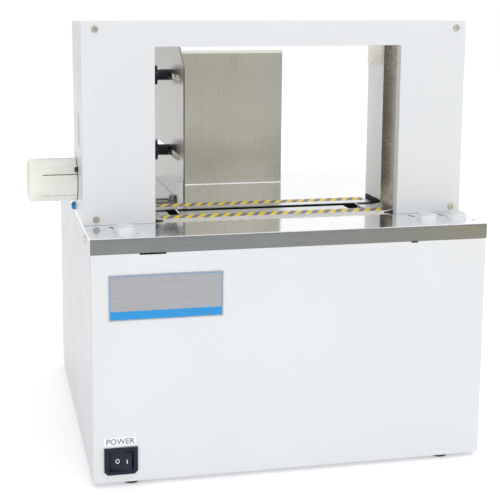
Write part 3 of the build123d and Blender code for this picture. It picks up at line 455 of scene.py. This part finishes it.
def power_label():
    """Pale sticker with the word POWER above the switch."""
    low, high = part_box("switch_bezel")
    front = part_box("base_casing")[0].y
    left_of_switch, above_switch = 0.6 * MM, 5.4 * MM
    width, height, corner, thickness = 29 * MM, 8.4 * MM, 1.0 * MM, 0.12 * MM
    print_gap = 0.04 * MM
    middle = Vector(((low.x + high.x) / 2 - left_of_switch, front, high.z + above_switch))

    def place(u, v, w):
        return (middle.x + u, middle.y - w, middle.z + v)

    outline = rounded_rectangle(width, height, corner)
    make_piece("power_sticker", outline_slab(outline, thickness, place), sticker_film)
    font = bpy.data.curves.new("power_text", "FONT")
    font.body = "POWER"
    font.size = 7.4 * MM
    font.align_x = "CENTER"
    font.align_y = "CENTER"
    font.space_character = 1.02
    font.extrude = 0.04 * MM
    font.offset = 0.09 * MM
    word = bpy.data.objects.new("power_text", font)
    word.location = middle - Vector((0, thickness + print_gap, 0))
    word.rotation_euler = (math.pi / 2, 0, 0)
    scene.collection.objects.link(word)
    font.materials.append(print_grey)
    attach(word, "machine")


def rocker_marks():
    """O and I marks on the rocker's two faces."""
    low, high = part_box("switch_rocker")
    middle_z = (low.z + high.z) / 2
    joints = frame["record"]["behaviour"]["joints"]
    hinge = next(joint["pos_m"] for joint in joints if joint["name"] == "switch_rock")
    ridge_proud = 2.2 * MM
    ridge = Vector((hinge[0], hinge[1] - ridge_proud, middle_z))

    def on_face(offset, tilt):
        """Placement on a face that leaves the ridge at a tilt, offset along it."""
        along = Vector((math.cos(tilt), -math.sin(tilt), 0))
        outwards = Vector((-math.sin(tilt), -math.cos(tilt), 0))
        start = ridge + along * offset
        return lambda u, v, w: start + along * u + outwards * w + Vector((0, 0, v))

    left_tilt, right_tilt = math.atan(1.6 / 10.5), math.atan(3.2 / 9.1)
    outer_r, inner_r, raised, narrow = 2.2 * MM, 1.6 * MM, 0.1 * MM, 0.82
    steps = 32
    ring = bmesh.new()
    place = on_face(-3.2 * MM, left_tilt)
    rim = []
    for k in range(steps):
        angle = 2 * math.pi * k / steps
        u, v = math.cos(angle), math.sin(angle)
        rim.append([
            ring.verts.new(place(u * reach * narrow, v * reach, height))
            for reach, height in ((outer_r, 0), (outer_r, raised), (inner_r, raised), (inner_r, 0))
        ])
    for k in range(len(rim)):
        here, there = rim[k], rim[(k + 1) % len(rim)]
        for side in range(4):
            nxt = (side + 1) % 4
            ring.faces.new((here[side], there[side], there[nxt], here[nxt]))
    bmesh.ops.recalc_face_normals(ring, faces=ring.faces)
    make_piece("off_mark", ring, rocker_ink, "switch_rocker")
    bar = rounded_rectangle(0.8 * MM, 4.0 * MM, 0.2 * MM)
    bar_shape = outline_slab(bar, raised, on_face(5.6 * MM, right_tilt))
    make_piece("on_mark", bar_shape, rocker_ink, "switch_rocker")


def button_marks():
    """Small dark pointer at the left rear of each button and a low stud at its right front."""
    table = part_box("table_top")[1].z
    lean = math.radians(28)
    half_tail, half_head, tail, head, tip = 1.1 * MM, 1.5 * MM, -3.6 * MM, 2.6 * MM, 4.2 * MM
    pointer = [
        (-half_tail, tail), (half_tail, tail), (half_head, head), (0, tip), (-half_head, head),
    ]
    stud_r, stud_cut, stud_flattening = 1.2 * MM, 0.3 * MM, 0.6
    for name in ("start_button", "feed_button", "reset_button"):
        low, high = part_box(name)
        center = (low + high) / 2

        def place(u, v, w):
            x = u * math.cos(lean) - v * math.sin(lean)
            y = u * math.sin(lean) + v * math.cos(lean)
            return (center.x - 9.5 * MM + x, center.y + 14 * MM + y, table + w)

        make_piece(f"{name}_pointer", outline_slab(pointer, 0.15 * MM, place), mark_ink)
        stud = bmesh.new()
        bmesh.ops.create_uvsphere(stud, u_segments=20, v_segments=12, radius=stud_r)
        bmesh.ops.bisect_plane(
            stud,
            geom=stud.verts[:] + stud.edges[:] + stud.faces[:],
            plane_co=(0, 0, stud_cut),
            plane_no=(0, 0, 1),
            clear_inner=True,
        )
        bmesh.ops.holes_fill(stud, edges=stud.edges)
        bmesh.ops.scale(stud, vec=(1, 1, stud_flattening), verts=stud.verts)
        stud_place = (center.x + 10 * MM, center.y - 16 * MM, table - stud_cut / 2)
        bmesh.ops.translate(stud, vec=stud_place, verts=stud.verts)
        make_piece(f"{name}_stud", stud, bright_zinc)


def tape_peg():
    """Black rounded peg on the arch's side, beside the inner end of the reel hub."""
    low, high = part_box("reel_hub")
    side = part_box("arch_shell")[0].x
    radius, length = 2.6 * MM, 3.4 * MM
    rings = [
        (0, radius),
        (length - 1.2 * MM, radius),
        (length - 0.35 * MM, radius * 0.86),
        (length, radius * 0.5),
    ]
    peg = bmesh.new()
    behind_hub_front, above_axis = 0.6 * MM, 12.5 * MM
    center = Vector((side, low.y + behind_hub_front, (low.z + high.z) / 2 + above_axis))
    steps = 28
    loops = []
    for reach, r in rings:
        loops.append([
            peg.verts.new(center + Vector((
                -reach, r * math.cos(2 * math.pi * k / steps), r * math.sin(2 * math.pi * k / steps)
            )))
            for k in range(steps)
        ])
    for inner, outer in zip(loops, loops[1:]):
        for k in range(steps):
            nxt = (k + 1) % steps
            peg.faces.new((inner[k], inner[nxt], outer[nxt], outer[k]))
    peg.faces.new(loops[-1])
    peg.faces.new(list(reversed(loops[0])))
    bmesh.ops.recalc_face_normals(peg, faces=peg.faces)
    make_piece("tape_peg", peg, black_plastic)


power_label()
rocker_marks()
button_marks()
tape_peg()


# ---------------------------------------------------------------- camera, light and floor

def make_camera():
    """Camera at the front left, just above the arch's top, looking slightly down."""
    data = bpy.data.cameras.new("studio_camera")
    data.lens = 76.56
    data.sensor_width = 36.0
    data.shift_x = 0.12
    data.shift_y = -0.17
    camera = bpy.data.objects.new("studio_camera", data)
    yaw, pitch = math.radians(11.125), math.radians(8.389)
    camera.location = (-0.25336, -1.08138, 0.43011)
    camera.rotation_euler = (math.pi / 2 - pitch, 0, -yaw)
    scene.collection.objects.link(camera)
    scene.camera = camera


def area_light(name, place, target, size, power):
    data = bpy.data.lights.new(name, "AREA")
    data.shape = "RECTANGLE"
    data.size, data.size_y = size
    data.energy = power
    lamp = bpy.data.objects.new(name, data)
    lamp.location = place
    lamp.rotation_euler = (Vector(target) - Vector(place)).to_track_quat("-Z", "Y").to_euler()
    scene.collection.objects.link(lamp)


def reflection_card(name, place, size, color, upright, glow=0.0):
    """Card outside the picture that shows only as a reflection, in metal, paint and plastic."""
    card_mesh = bmesh.new()
    bmesh.ops.create_grid(card_mesh, x_segments=4, y_segments=4, size=0.5)
    mesh = bpy.data.meshes.new(name)
    card_mesh.to_mesh(mesh)
    card_mesh.free()
    card = bpy.data.objects.new(name, mesh)
    card.location = place
    card.scale = (*size, 1)
    card.rotation_euler = (math.pi / 2 if upright else 0, 0, 0)
    for ray in ("camera", "diffuse", "transmission", "volume_scatter", "shadow"):
        setattr(card, f"visible_{ray}", False)
    scene.collection.objects.link(card)
    s = Surface(name, 0.9, Emission_Color=(*color, 1), Emission_Strength=glow)
    s.color(s.ramp(s.noise(0.3, 3), [(0.3, shade(color, 0.8)), (0.7, shade(color, 1.2))]))
    mesh.materials.append(s.material)
    return card


def side_flag(place, size, color):
    """Dark flag beside the machine that shades its left side and also shows in reflections."""
    flag = reflection_card("side_flag", place, size, color, upright=True)
    flag.rotation_euler = (math.pi / 2, 0, math.pi / 2)
    flag.visible_diffuse = True


def make_studio():
    """Pale floor and surroundings, three soft lights, two reflection cards and a side flag."""
    ground = bmesh.new()
    bmesh.ops.create_grid(ground, x_segments=8, y_segments=8, size=6)
    mesh = bpy.data.meshes.new("studio_floor")
    ground.to_mesh(mesh)
    ground.free()
    floor = bpy.data.objects.new("studio_floor", mesh)
    scene.collection.objects.link(floor)
    s = Surface("floor_paper", 0.9, Emission_Color=(0.97, 0.98, 1.0, 1), Emission_Strength=0.32)
    s.color(s.ramp(s.noise(0.4, 2), [(0.3, (0.82, 0.82, 0.83)), (0.7, (0.84, 0.84, 0.85))]))
    mesh.materials.append(s.material)

    world = bpy.data.worlds.new("studio")
    world.use_nodes = True
    world.node_tree.nodes["Background"].inputs["Color"].default_value = (0.99, 0.995, 1.0, 1)
    world.node_tree.nodes["Background"].inputs["Strength"].default_value = 1.02
    scene.world = world
    area_light("key", (0.5, -2.0, 1.2), (0, 0, 0.2), (1.6, 1.2), 4)
    area_light("fill", (-1.5, -1.7, 0.6), (0.1, 0, 0.25), (1.2, 1.0), 6)
    area_light("top", (0.1, 0.3, 2.0), (0, 0, 0.2), (1.8, 1.2), 4)
    reflection_card("room_card", (0.3, -2.2, 0.62), (4.4, 1.2), (0.50, 0.48, 0.42), upright=True)
    tan = (1.0, 0.80, 0.34)
    reflection_card("bench_card", (1.17, -1.15, 0.01), (1.2, 1.2), tan, upright=False, glow=0.55)
    side_flag((-1.3, 0.2, 0.6), (2.2, 1.2), (0.16, 0.155, 0.14))


scene.view_settings.view_transform = "Standard"
make_camera()
make_studio()
